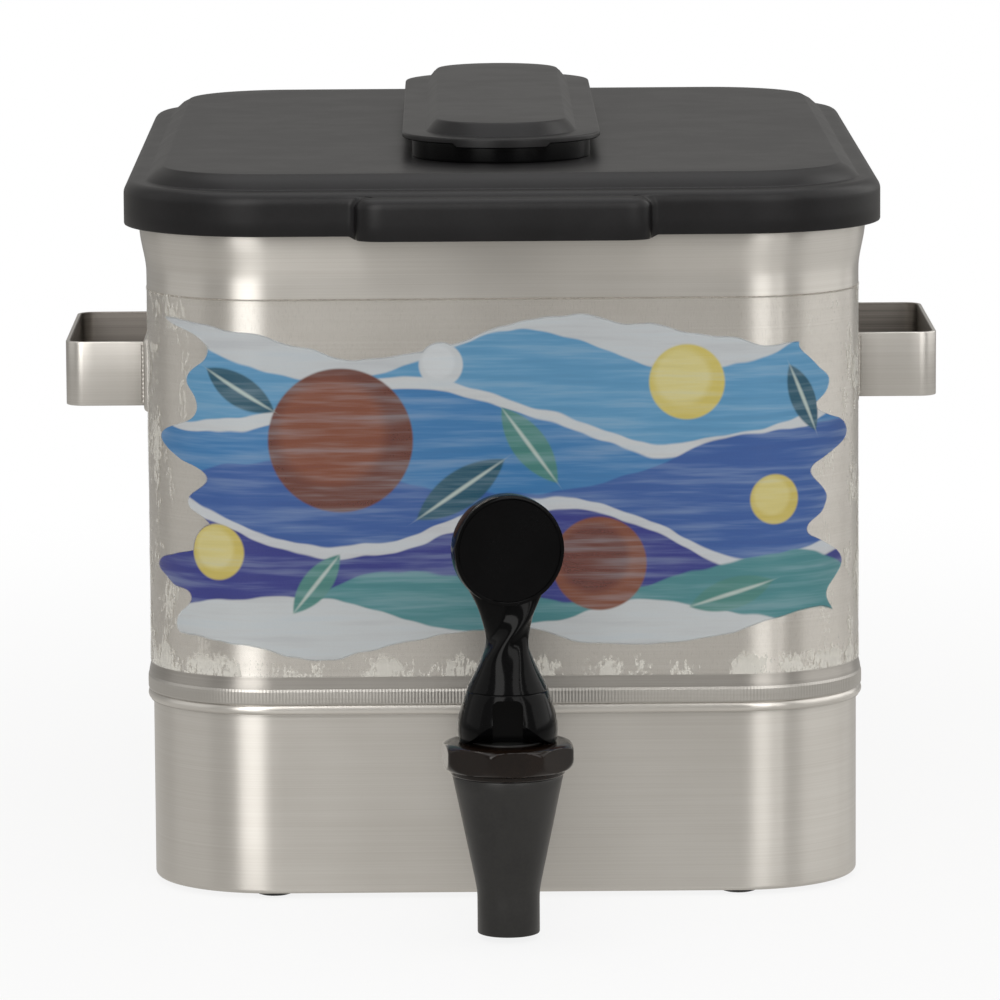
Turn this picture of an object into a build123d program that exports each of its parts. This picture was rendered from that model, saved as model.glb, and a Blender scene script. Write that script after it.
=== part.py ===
from build123d import *
import os
from math import cos, radians, sin

os.makedirs("parts", exist_ok=True)

# An iced tea dispenser: a brushed steel tank on a skirt, a lift-off moulded lid with a long plug in it,
# a strap handle on each side and a self-closing tap in front.
# Millimetres, +Z up, the tap faces -Y. The origin is on the table, under the middle of the whole outline.

# Tank
tank_w = 229.0
tank_d = 330.0
tank_r = 40.0
tank_h = 224.7
sheet = 0.7
sheet_fit = 0.05
wall_low_z = 59.6
bead_z = 61.2
bead_h = 5.2
bead_out = 0.95
bead_slope = 3.5
flare_below = 21.7
flare_h = 10.0
flare_out = 2.1
rim_roll = 1.4
rim_drop = 1.9

# Skirt and feet
foot_h = 1.5
foot_d = 14.0
foot_stem_d = 6.0
foot_head_d = 9.0
foot_head_h = 1.6
foot_fit = 0.15
skirt_top_z = 76.0
skirt_bend = 1.5
skirt_lip = 18.0

# Pan, a sloped floor that drains to the tap
pan_gap = 6.0
pan_ledge_z = 56.0
pan_floor_z = 14.5
pan_slope = 3.0
pan_bend = 5.0

# Printed film round the front
film_t = 0.2
film_low_z = 72.0
film_below = 31.6
film_wrap = 22.0
film_fit = 0.05

# Side handles
handle_out = 31.0
handle_len = 89.0
handle_y = 3.0
handle_below = 58.0
strap_h = 21.5
strap_t = 1.5
strap_bend = 3.5
plate_t = 1.0
plate_len = 96.0
plate_h = 25.0
plate_up = 1.5
plate_r = 2.0

# Lid
lid_over = 7.0
lid_wall = 2.2
lid_side = 14.0
lid_edge_r = 4.0
panel_inset = 7.5
panel_slope = 4.5
panel_h = 4.7
panel_edge = 0.6
rib_fit = 1.2
rib_t = 2.0
rib_h = 9.0
tab_w = 93.0
tab_out = 8.0
tab_drop = 1.0
tab_below = 1.4
tab_r = 4.4
tab_edge_r = 3.6
tab_foot_r = 3.4
collar_t = 2.0
collar_h = 8.0

# Plug in the lid
plug_len = 262.0
plug_w = 64.2
cap_t = 2.0
cap_edge = 0.5
dome_inset = 8.0
dome_slope = 3.0
dome_h = 4.2
dome_edge = 0.7
cap_wall = 1.8
lip_w = 28.5
lip_drop = 1.2
lip_in = 9.0
neck_inset = 3.25
neck_h = 6.1
plug_inset = 9.0
plug_fit = 0.5
plug_drop = 9.0
plug_wall = 2.0

# Tap, from the spout up
tap_out = 65.0
spout_z = 1.9
spout_d = 19.4
cone_low_z = 15.4
cone_top_z = 51.9
cone_top_d = 34.6
outlet_d = 13.0
seat_z = 30.0
chamber_low_d = 20.0
chamber_d = 24.4
chamber_turn_z = 42.0
tap_neck_d = 30.0
tap_neck_top_z = 58.5
shank_z = 36.0
shank_d = 20.0
shank_bore = 13.0
shank_end = 16.0
shank_fit = 0.3
shoulder_d = 28.0
shoulder_t = 3.0
seal_t = 2.0
seal_d = 27.0
shank_nut_af = 27.0
shank_nut_t = 6.0

# Bonnet, the octagonal nut on the tap
bonnet_sides = 8
bonnet_af = 38.2
bonnet_low_z = 52.2
bonnet_lip_h = 1.4
bonnet_lip_d = 35.6
bonnet_top_z = 62.3
bonnet_wall = 3.4
bonnet_turn = 7.5
bonnet_corner = 1.0
bonnet_foot_turn = 4.2
bonnet_top_turn = 2.4
bonnet_top_d = 34.4
bonnet_fit = 0.1

# Stem, seat cup and spring
stem_d = 6.0
stem_fit = 0.3
stem_edge = 1.0
stem_foot_d = 9.0
stem_foot_h = 2.0
stem_collar_d = 13.0
stem_collar_h = 1.5
cup_d = 18.0
cup_lip_h = 2.0
cup_neck_d = 11.0
cup_neck_z = 39.0
cup_top_z = 44.5
cup_foot_z = 34.5
seat_gap = 0.2
soft_fit = 0.1
spring_d = 11.0
wire_d = 1.2
wire_sides = 6
spring_turns = 4
spring_gap = 0.1

# Wear washer, pin and lever
washer_d = 22.0
washer_t = 1.0
washer_proud = 0.3
washer_fit = 0.1
foot_gap = 0.15
pin_d = 3.0
pin_h = 7.4
pin_len = 27.6
pin_fit = 0.03
pin_press = 0.01
toe_reach = 5.5
toe_rise = 2.0
bell_d = 31.4
bell_foot_d = 30.6
bell_bulge_z = 3.4
bell_waist_d = 29.2
bell_waist_z = 10.0
ring_z = 15.8
ring_d = 25.4
neck_edge = 0.22
head_z = 59.7
head_d = 34.6
head_t = 10.0
head_turn = 12.0
head_rim = 1.2
head_round = 2.5
badge_t = 1.0
badge_fit = 0.05
slot_w = 9.4
slot_h = 14.2
slot_back = 5.0
slot_r = 2.2

# Rungs of the lever's twisted neck: height over its foot, width, depth and turn
neck_rungs = [
    (ring_z, 25.2, 25.2, -90.0),
    (20.0, 21.8, 21.2, -90.0),
    (26.0, 16.6, 15.6, -86.0),
    (32.0, 12.6, 10.6, -60.0),
    (37.6, 14.0, 9.2, -22.0),
    (43.6, 19.6, 8.4, head_turn),
    (49.0, 26.0, 8.2, head_turn),
]

# Where things stand, worked out from the sizes above
bonnet_d = bonnet_af / cos(radians(180 / bonnet_sides)) - 2 * bonnet_corner
tank_y = (tap_out + bonnet_d / 2 - lid_over) / 2
front_y = tank_y - tank_d / 2
tap_y = front_y - tap_out
skirt_in = sheet + sheet_fit
flange_in = 2 * skirt_in
pan_in = flange_in + pan_gap
lid_w = tank_w + 2 * lid_over
lid_d = tank_d + 2 * lid_over
lid_r = tank_r + lid_over
rim_z = tank_h
flare_z = rim_z - flare_below
film_high_z = rim_z - film_below
handle_z = rim_z - handle_below - strap_h
shelf_z = rim_z + sheet + lid_wall
lid_low_z = shelf_z - lid_side
tab_top_z = shelf_z - tab_below
rib_low_z = shelf_z - lid_wall - rib_h
panel_z = shelf_z + panel_h
cap_z = panel_z + neck_h
washer_top_z = bonnet_top_z + washer_proud
lever_z = washer_top_z + foot_gap
pin_z = lever_z + pin_h


def level(z):
    """A level plane centred on the tank."""
    return Plane(origin=(0, tank_y, z))


def tap_level(z):
    """A level plane centred on the tap."""
    return Plane(origin=(0, tap_y, z))


wall_section = Plane(origin=(0, front_y, 0), x_dir=(0, -1, 0), z_dir=(-1, 0, 0))
tap_section = Plane(origin=(0, tap_y, 0), x_dir=(1, 0, 0), z_dir=(0, -1, 0))
tap_side = Plane(origin=(0, tap_y, 0), x_dir=(0, -1, 0), z_dir=(-1, 0, 0))
tap_axis = Axis((0, tap_y, 0), (0, 0, 1))


def shank_plane(y):
    """A plane across the shank, facing the tank."""
    return Plane(origin=(0, y, shank_z), x_dir=(1, 0, 0), z_dir=(0, 1, 0))


with BuildLine() as half_outline:
    FilletPolyline(
        (0, front_y),
        (tank_w / 2, front_y),
        (tank_w / 2, front_y + tank_d),
        (0, front_y + tank_d),
        radius=tank_r,
    )

with BuildLine() as film_outline:
    FilletPolyline(
        (0, front_y),
        (tank_w / 2, front_y),
        (tank_w / 2, front_y + tank_r + film_wrap),
        radius=tank_r,
    )

# Tank wall: one sheet with a bead at its foot, a flare under the lid and a rolled rim
with BuildPart() as tank_shell:
    with BuildSketch(wall_section):
        with BuildLine():
            Polyline(
                (bead_out / 2, wall_low_z),
                (bead_out, bead_z),
                (bead_out, bead_z + bead_h),
                (0, bead_z + bead_h + bead_slope),
                (0, flare_z),
                (flare_out, flare_z + flare_h),
                (flare_out, rim_z),
                (flare_out + rim_roll, rim_z),
                (flare_out + rim_roll, rim_z - rim_drop),
                (flare_out + rim_roll + sheet, rim_z - rim_drop),
                (flare_out + rim_roll + sheet, rim_z + sheet),
                (flare_out - sheet, rim_z + sheet),
                (flare_out - sheet, flare_z + flare_h),
                (-sheet, flare_z),
                (-sheet, bead_z + bead_h + bead_slope),
                (bead_out - sheet, bead_z + bead_h),
                (bead_out - sheet, bead_z),
                (bead_out / 2 - sheet, wall_low_z),
                close=True,
            )
        make_face()
    sweep(path=half_outline.wires()[0])
    mirror(about=Plane.YZ)

# Skirt: inside the foot of the wall, turned in at the bottom to stand on
with BuildPart() as base_skirt:
    with BuildSketch(wall_section):
        with BuildLine():
            Polyline(
                (-skirt_lip, foot_h),
                (-skirt_in - skirt_bend, foot_h),
                (-skirt_in, foot_h + skirt_bend),
                (-skirt_in, skirt_top_z),
            )
            offset(amount=sheet, side=Side.LEFT)
        make_face()
    sweep(path=half_outline.wires()[0])
    mirror(about=Plane.YZ)
    with BuildSketch(shank_plane(front_y)):
        Circle(shank_d / 2 + shank_fit)
    extrude(amount=pan_gap, mode=Mode.SUBTRACT)
    foot_inset = skirt_in + skirt_lip / 2
    foot_x = tank_w / 2 - tank_r
    foot_y = tank_d / 2 - foot_inset
    with BuildSketch(level(foot_h)):
        with GridLocations(2 * foot_x, 2 * foot_y, 2, 2):
            Circle(foot_stem_d / 2 + foot_fit)
    extrude(amount=sheet, mode=Mode.SUBTRACT)

# Rubber feet: a pad under the skirt's lip and a head above it
with BuildPart() as base_feet:
    with BuildSketch(level(0)):
        with GridLocations(2 * foot_x, 2 * foot_y, 2, 2):
            Circle(foot_d / 2)
    extrude(amount=foot_h)
    with BuildSketch(level(foot_h)):
        with GridLocations(2 * foot_x, 2 * foot_y, 2, 2):
            Circle(foot_stem_d / 2)
    extrude(amount=sheet + foot_fit)
    with BuildSketch(level(foot_h + sheet + foot_fit)):
        with GridLocations(2 * foot_x, 2 * foot_y, 2, 2):
            Circle(foot_head_d / 2)
    extrude(amount=foot_head_h)


def pan_form(inset):
    """The solid form of the pan, drawn in by a sheet to make its hollow."""
    with BuildPart() as form:
        with BuildSketch(level(0)):
            RectangleRounded(
                tank_w - 2 * (pan_in + inset),
                tank_d - 2 * (pan_in + inset),
                tank_r - pan_in - inset,
            )
        extrude(amount=pan_ledge_z + inset)
        slope = Plane(
            origin=(0, front_y + pan_in, pan_floor_z + inset / cos(radians(pan_slope))),
            x_dir=(1, 0, 0),
            z_dir=(0, -sin(radians(pan_slope)), cos(radians(pan_slope))),
        )
        split(bisect_by=slope, keep=Keep.TOP)
        chamfer(form.faces().sort_by(Axis.Z)[0].edges(), pan_bend - inset)
        with BuildSketch(level(pan_ledge_z + inset)):
            RectangleRounded(
                tank_w - 2 * (flange_in + inset),
                tank_d - 2 * (flange_in + inset),
                tank_r - flange_in - inset,
            )
        extrude(amount=skirt_top_z - pan_ledge_z - inset)
    return form.part


# Pan: the floor of the tank, hung inside the seam
with BuildPart() as bottom_pan:
    add(pan_form(0))
    add(pan_form(sheet), mode=Mode.SUBTRACT)
    with BuildSketch(shank_plane(front_y)):
        Circle(shank_d / 2 + shank_fit)
    extrude(amount=3 * pan_in, mode=Mode.SUBTRACT)

# Clear printed film round the front of the wall
with BuildPart() as label_film:
    with BuildSketch(wall_section):
        with BuildLine():
            Polyline(
                (film_fit, film_low_z),
                (film_fit + film_t, film_low_z),
                (film_fit + film_t, film_high_z),
                (film_fit, film_high_z),
                close=True,
            )
        make_face()
    sweep(path=film_outline.wires()[0])
    mirror(about=Plane.YZ)

# Side handles: a bent strap on a backing plate
plate_mid_z = handle_z + strap_h + plate_up - plate_h / 2
handle_mid_y = tank_y + handle_y

with BuildPart() as handle_plate_right:
    plate_plane = Plane(origin=(tank_w / 2, handle_mid_y, plate_mid_z), x_dir=(0, 1, 0), z_dir=(1, 0, 0))
    with BuildSketch(plate_plane):
        RectangleRounded(plate_len, plate_h, plate_r)
    extrude(amount=plate_t)

with BuildPart() as side_handle_right:
    strap_x = tank_w / 2 + plate_t
    with BuildSketch(Plane(origin=(0, handle_mid_y, handle_z))):
        with BuildLine():
            FilletPolyline(
                (strap_x, -handle_len / 2),
                (tank_w / 2 + handle_out, -handle_len / 2),
                (tank_w / 2 + handle_out, handle_len / 2),
                (strap_x, handle_len / 2),
                radius=strap_bend,
            )
            offset(amount=strap_t, side=Side.LEFT)
        make_face()
    extrude(amount=strap_h)

with BuildPart() as handle_plate_left:
    mirror(handle_plate_right.part, about=Plane.YZ)

with BuildPart() as side_handle_left:
    mirror(side_handle_right.part, about=Plane.YZ)

# Lid: a moulded shell with a raised panel, a thumb tab, a locating rib and a collar round its opening
mouth_len = plug_len - 2 * plug_inset
mouth_w = plug_w - 2 * plug_inset
lid_inner_w = lid_w - 2 * lid_wall
lid_inner_d = lid_d - 2 * lid_wall
rib_in = -flare_out + sheet + rib_fit

with BuildPart() as thumb_tab:
    with BuildSketch(level(lid_low_z - tab_drop)):
        with BuildLine():
            wing_x = tab_w / 2 + 2 * tab_foot_r
            tab_back_y = -lid_d / 2 + 3 * tab_edge_r
            FilletPolyline(
                (-wing_x, -lid_d / 2),
                (-tab_w / 2, -lid_d / 2),
                (-tab_w / 2, -lid_d / 2 - tab_out),
                (tab_w / 2, -lid_d / 2 - tab_out),
                (tab_w / 2, -lid_d / 2),
                (wing_x, -lid_d / 2),
                radius=[tab_foot_r, tab_r, tab_r, tab_foot_r],
            )
            Polyline(
                (wing_x, -lid_d / 2),
                (wing_x, tab_back_y),
                (-wing_x, tab_back_y),
                (-wing_x, -lid_d / 2),
            )
        make_face()
    extrude(amount=tab_top_z - lid_low_z + tab_drop)
    fillet(thumb_tab.faces().sort_by(Axis.Z)[-1].edges(), tab_edge_r)

with BuildPart() as lid_shell:
    with BuildSketch(level(lid_low_z)):
        RectangleRounded(lid_w, lid_d, lid_r)
    extrude(amount=shelf_z - lid_low_z)
    fillet(lid_shell.faces().filter_by(Axis.Z).group_by(Axis.Z)[-1].edges(), lid_edge_r)
    with BuildSketch(level(shelf_z)):
        RectangleRounded(
            lid_w - 2 * panel_inset,
            lid_d - 2 * panel_inset,
            lid_r - panel_inset,
        )
    with BuildSketch(level(panel_z)):
        RectangleRounded(
            lid_w - 2 * (panel_inset + panel_slope),
            lid_d - 2 * (panel_inset + panel_slope),
            lid_r - panel_inset - panel_slope,
        )
    loft()
    chamfer(lid_shell.faces().filter_by(Axis.Z).group_by(Axis.Z)[-1].edges(), panel_edge)
    add(thumb_tab.part)
    with BuildSketch(level(lid_low_z - tab_drop)):
        RectangleRounded(lid_inner_w, lid_inner_d, lid_r - lid_wall)
    extrude(amount=shelf_z - lid_wall - lid_low_z + tab_drop, mode=Mode.SUBTRACT)
    hollow_inset = panel_inset + panel_slope + lid_wall
    with BuildSketch(level(shelf_z - lid_wall)):
        RectangleRounded(lid_w - 2 * hollow_inset, lid_d - 2 * hollow_inset, lid_r - hollow_inset)
    extrude(amount=panel_h, mode=Mode.SUBTRACT)
    with BuildSketch(level(rib_low_z)):
        RectangleRounded(tank_w - 2 * rib_in, tank_d - 2 * rib_in, tank_r - rib_in)
        RectangleRounded(
            tank_w - 2 * (rib_in + rib_t),
            tank_d - 2 * (rib_in + rib_t),
            tank_r - rib_in - rib_t,
            mode=Mode.SUBTRACT,
        )
    extrude(amount=shelf_z - lid_wall - rib_low_z)
    with BuildSketch(level(panel_z - lid_wall - collar_h)):
        SlotOverall(mouth_len + 2 * collar_t, mouth_w + 2 * collar_t, rotation=90)
    extrude(amount=collar_h)
    with BuildSketch(level(panel_z - lid_wall - collar_h)):
        SlotOverall(mouth_len, mouth_w, rotation=90)
    extrude(amount=collar_h + lid_wall, mode=Mode.SUBTRACT)

# Plug: a gloss body that stops the opening, and its matt cap
with BuildPart() as plug_body:
    with BuildSketch(level(panel_z)):
        SlotOverall(plug_len - 2 * neck_inset, plug_w - 2 * neck_inset, rotation=90)
    extrude(amount=neck_h)
    with BuildSketch(level(panel_z - plug_drop)):
        SlotOverall(mouth_len - 2 * plug_fit, mouth_w - 2 * plug_fit, rotation=90)
    extrude(amount=plug_drop)
    with BuildSketch(level(panel_z - plug_drop)):
        SlotOverall(
            mouth_len - 2 * (plug_fit + plug_wall),
            mouth_w - 2 * (plug_fit + plug_wall),
            rotation=90,
        )
    extrude(amount=plug_drop + neck_h - plug_wall, mode=Mode.SUBTRACT)

with BuildPart() as plug_cap:
    with BuildSketch(level(cap_z)):
        SlotOverall(plug_len, plug_w, rotation=90)
    extrude(amount=cap_t)
    chamfer(plug_cap.faces().filter_by(Axis.Z).sort_by(Axis.Z)[-1].edges(), cap_edge)
    with BuildSketch(level(cap_z + cap_t)):
        SlotOverall(plug_len - 2 * dome_inset, plug_w - 2 * dome_inset, rotation=90)
    with BuildSketch(level(cap_z + cap_t + dome_h)):
        SlotOverall(
            plug_len - 2 * (dome_inset + dome_slope),
            plug_w - 2 * (dome_inset + dome_slope),
            rotation=90,
        )
    loft()
    chamfer(plug_cap.faces().filter_by(Axis.Z).sort_by(Axis.Z)[-1].edges(), dome_edge)
    with BuildSketch(level(cap_z)):
        SlotOverall(
            plug_len - 2 * (dome_inset + dome_slope + cap_wall),
            plug_w - 2 * (dome_inset + dome_slope + cap_wall),
            rotation=90,
        )
    extrude(amount=cap_t + dome_h - cap_wall, mode=Mode.SUBTRACT)
    with BuildSketch(level(cap_z - lip_drop)):
        SlotOverall(plug_len, plug_w, rotation=90)
        SlotOverall(
            plug_len - 2 * neck_inset + 2 * soft_fit,
            plug_w - 2 * neck_inset + 2 * soft_fit,
            rotation=90,
            mode=Mode.SUBTRACT,
        )
        with Locations((0, -plug_len / 2)):
            Rectangle(lip_w, 2 * lip_in, mode=Mode.INTERSECT)
    extrude(amount=lip_drop)

# Tap body: spout, cone, chamber and shank in one moulding
skirt_y = front_y + skirt_in
pan_y = front_y + pan_in
shoulder_y = skirt_y - seal_t
shank_end_y = pan_y + sheet + shank_end

with BuildPart() as faucet_body:
    with BuildSketch(tap_section):
        with BuildLine():
            Polyline(
                (0, spout_z),
                (spout_d / 2, spout_z),
                (spout_d / 2, cone_low_z),
                (cone_top_d / 2, cone_top_z),
                (tap_neck_d / 2, cone_top_z),
                (tap_neck_d / 2, tap_neck_top_z),
                (0, tap_neck_top_z),
                close=True,
            )
        make_face()
    revolve(axis=tap_axis)
    with BuildSketch(shank_plane(tap_y)):
        Circle(shank_d / 2)
    extrude(amount=shank_end_y - tap_y)
    with BuildSketch(shank_plane(shoulder_y - shoulder_t)):
        Circle(shoulder_d / 2)
    extrude(amount=shoulder_t)
    with BuildSketch(shank_plane(tap_y)):
        Circle(shank_bore / 2)
    extrude(amount=shank_end_y - tap_y, mode=Mode.SUBTRACT)
    with BuildSketch(tap_section):
        with BuildLine():
            Polyline(
                (0, spout_z),
                (outlet_d / 2, spout_z),
                (outlet_d / 2, seat_z),
                (chamber_low_d / 2, seat_z),
                (chamber_d / 2, chamber_turn_z),
                (chamber_d / 2, tap_neck_top_z),
                (0, tap_neck_top_z),
                close=True,
            )
        make_face()
    revolve(axis=tap_axis, mode=Mode.SUBTRACT)

# Seals and nut that clamp the shank through skirt and pan
with BuildPart() as outer_seal:
    with BuildSketch(shank_plane(skirt_y - seal_t)):
        Circle(seal_d / 2)
        Circle(shank_d / 2 + soft_fit, mode=Mode.SUBTRACT)
    extrude(amount=seal_t)

with BuildPart() as wall_spacer:
    with BuildSketch(shank_plane(skirt_y + sheet)):
        Circle(seal_d / 2)
        Circle(shank_d / 2 + shank_fit, mode=Mode.SUBTRACT)
    extrude(amount=pan_y - skirt_y - sheet)

with BuildPart() as inner_seal:
    with BuildSketch(shank_plane(pan_y + sheet)):
        Circle(seal_d / 2)
        Circle(shank_d / 2 + soft_fit, mode=Mode.SUBTRACT)
    extrude(amount=seal_t)

with BuildPart() as shank_nut:
    with BuildSketch(shank_plane(pan_y + sheet + seal_t)):
        RegularPolygon(shank_nut_af / 2, 6, major_radius=False)
        Circle(shank_d / 2 + soft_fit, mode=Mode.SUBTRACT)
    extrude(amount=shank_nut_t)

# Bonnet: an octagonal nut with a round lip, screwed down over the tap's neck
with BuildPart() as bonnet_nut:
    with BuildSketch(tap_level(bonnet_low_z)):
        RegularPolygon(bonnet_af / 2, bonnet_sides, major_radius=False, rotation=bonnet_turn - 90)
    extrude(amount=bonnet_top_z - bonnet_low_z)
    with BuildSketch(tap_section):
        with BuildLine():
            Polyline(
                (0, bonnet_low_z),
                (bonnet_lip_d / 2, bonnet_low_z),
                (bonnet_lip_d / 2, bonnet_low_z + bonnet_lip_h),
                (bonnet_d / 2, bonnet_low_z + bonnet_lip_h + bonnet_foot_turn),
                (bonnet_d / 2, bonnet_top_z - bonnet_top_turn),
                (bonnet_top_d / 2, bonnet_top_z),
                (0, bonnet_top_z),
                close=True,
            )
        make_face()
    revolve(axis=tap_axis, mode=Mode.INTERSECT)
    with BuildSketch(tap_level(bonnet_low_z)):
        Circle(tap_neck_d / 2 + bonnet_fit)
    extrude(amount=bonnet_top_z - bonnet_wall - bonnet_low_z, mode=Mode.SUBTRACT)
    with BuildSketch(tap_level(washer_top_z - washer_t)):
        Circle(washer_d / 2 + washer_fit)
    extrude(amount=washer_t, mode=Mode.SUBTRACT)
    with BuildSketch(tap_level(bonnet_low_z)):
        Circle(stem_d / 2 + stem_fit)
    extrude(amount=bonnet_top_z - bonnet_low_z, mode=Mode.SUBTRACT)

with BuildPart() as wear_washer:
    with BuildSketch(tap_level(washer_top_z - washer_t)):
        Circle(washer_d / 2)
        Circle(stem_d / 2 + stem_fit, mode=Mode.SUBTRACT)
    extrude(amount=washer_t)

# Stem: a foot held in the seat cup, a collar under the spring and an eye for the pin
stem_top_z = pin_z + stem_d / 2
collar_z = cup_top_z + soft_fit

with BuildPart() as valve_stem:
    with BuildSketch(tap_section):
        with BuildLine():
            Polyline(
                (0, cup_foot_z),
                (stem_foot_d / 2, cup_foot_z),
                (stem_foot_d / 2, cup_foot_z + stem_foot_h),
                (stem_d / 2, cup_foot_z + stem_foot_h),
                (stem_d / 2, collar_z),
                (stem_collar_d / 2, collar_z),
                (stem_collar_d / 2, collar_z + stem_collar_h),
                (stem_d / 2, collar_z + stem_collar_h),
                (stem_d / 2, stem_top_z),
                (0, stem_top_z),
                close=True,
            )
        make_face()
    revolve(axis=tap_axis)
    chamfer(valve_stem.faces().sort_by(Axis.Z)[-1].edges(), stem_edge)
    with BuildSketch(Plane(origin=(0, tap_y, pin_z), x_dir=(0, 1, 0), z_dir=(1, 0, 0))):
        Circle(pin_d / 2 + pin_fit)
    extrude(amount=stem_d, both=True, mode=Mode.SUBTRACT)

# Seat cup: one soft moulding that closes the outlet
with BuildPart() as seat_cup:
    with BuildSketch(tap_section):
        with BuildLine():
            Polyline(
                (0, seat_z + seat_gap),
                (cup_d / 2, seat_z + seat_gap),
                (cup_d / 2, seat_z + seat_gap + cup_lip_h),
                (cup_neck_d / 2, cup_neck_z),
                (cup_neck_d / 2, cup_top_z),
                (stem_d / 2 + soft_fit, cup_top_z),
                (stem_d / 2 + soft_fit, cup_foot_z + stem_foot_h + soft_fit),
                (stem_foot_d / 2 + soft_fit, cup_foot_z + stem_foot_h + soft_fit),
                (stem_foot_d / 2 + soft_fit, cup_foot_z - soft_fit),
                (0, cup_foot_z - soft_fit),
                close=True,
            )
        make_face()
    revolve(axis=tap_axis)

# Return spring between the stem's collar and the bonnet
spring_low_z = collar_z + stem_collar_h + spring_gap
spring_high_z = bonnet_top_z - bonnet_wall - spring_gap
spring_path = Helix(
    pitch=(spring_high_z - spring_low_z - wire_d) / spring_turns,
    height=spring_high_z - spring_low_z - wire_d,
    radius=(spring_d - wire_d) / 2,
    center=(0, tap_y, spring_low_z + wire_d / 2),
)
with BuildPart() as return_spring:
    with BuildSketch(Plane(origin=spring_path @ 0, z_dir=spring_path % 0)):
        RegularPolygon(wire_d / 2, wire_sides)
    sweep(path=spring_path)

# Pin through the lever's foot and the stem's eye
with BuildPart() as lever_pin:
    with BuildSketch(Plane(origin=(-pin_len / 2, tap_y, pin_z), x_dir=(0, 1, 0), z_dir=(1, 0, 0))):
        Circle(pin_d / 2)
    extrude(amount=pin_len)

# Lever: bell foot with a rounded toe and a slot in front, twisted neck and round head
toe_r = pin_h + toe_rise
head_plane = Plane(
    origin=(0, tap_y, lever_z + head_z),
    x_dir=(cos(radians(head_turn)), sin(radians(head_turn)), 0),
    z_dir=(sin(radians(head_turn)), -cos(radians(head_turn)), 0),
)

with BuildPart() as lever_head:
    with BuildSketch(head_plane.offset(-head_t / 2)):
        Circle(head_d / 2)
    extrude(amount=head_t)
    chamfer(lever_head.faces().sort_by(Axis.Y)[-1].edges(), head_round)

with BuildPart() as tap_lever:
    with BuildSketch(tap_section):
        with BuildLine():
            Polyline(
                (0, lever_z),
                (bell_foot_d / 2, lever_z),
                (bell_d / 2, lever_z + bell_bulge_z),
                (bell_waist_d / 2, lever_z + bell_waist_z),
                (ring_d / 2, lever_z + ring_z),
                (0, lever_z + ring_z),
                close=True,
            )
        make_face()
    revolve(axis=tap_axis)
    for height, width, depth, turn in neck_rungs:
        with BuildSketch(tap_level(lever_z + height)) as rung:
            Rectangle(width, depth, rotation=turn)
            chamfer(rung.vertices(), neck_edge * depth)
    loft(ruled=True)
    add(lever_head.part)
    with BuildSketch(head_plane.offset(head_t / 2 - badge_t)):
        Circle(head_d / 2 - head_rim)
    extrude(amount=badge_t, mode=Mode.SUBTRACT)
    with BuildSketch(tap_section.offset(-slot_back)) as slot_sketch:
        with Locations((0, lever_z + slot_h / 2)):
            Rectangle(slot_w, slot_h)
        fillet(slot_sketch.vertices().group_by(Axis.Y)[-1], slot_r)
    extrude(amount=slot_back + bell_d, mode=Mode.SUBTRACT)
    with BuildSketch(tap_side):
        with Locations((toe_reach + bell_d / 2, lever_z + toe_r / 2)):
            Rectangle(bell_d, toe_r)
        with Locations((toe_reach, lever_z + toe_r)):
            Circle(toe_r, mode=Mode.SUBTRACT)
    extrude(amount=bell_d, both=True, mode=Mode.SUBTRACT)
    with BuildSketch(Plane(origin=(0, tap_y, pin_z), x_dir=(0, 1, 0), z_dir=(1, 0, 0))):
        Circle(pin_d / 2 + pin_press)
    extrude(amount=bell_d, both=True, mode=Mode.SUBTRACT)

# Badge: a bare disc let into the lever's head
with BuildPart() as lever_badge:
    with BuildSketch(head_plane.offset(head_t / 2 - badge_t)):
        Circle(head_d / 2 - head_rim - badge_fit)
    extrude(amount=badge_t)

pieces = {
    "tank_shell": tank_shell,
    "base_skirt": base_skirt,
    "base_feet": base_feet,
    "bottom_pan": bottom_pan,
    "label_film": label_film,
    "side_handle_left": side_handle_left,
    "side_handle_right": side_handle_right,
    "handle_plate_left": handle_plate_left,
    "handle_plate_right": handle_plate_right,
    "lid_shell": lid_shell,
    "plug_body": plug_body,
    "plug_cap": plug_cap,
    "faucet_body": faucet_body,
    "outer_seal": outer_seal,
    "wall_spacer": wall_spacer,
    "inner_seal": inner_seal,
    "shank_nut": shank_nut,
    "bonnet_nut": bonnet_nut,
    "wear_washer": wear_washer,
    "valve_stem": valve_stem,
    "seat_cup": seat_cup,
    "return_spring": return_spring,
    "lever_pin": lever_pin,
    "tap_lever": tap_lever,
    "lever_badge": lever_badge,
}
for name, piece in pieces.items():
    piece.part.label = name
    export_step(piece.part, f"parts/{name}.step")
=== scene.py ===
from math import asin, cos, pi, radians, sin

import bmesh
import bpy
from mathutils import Matrix, Vector


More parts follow.
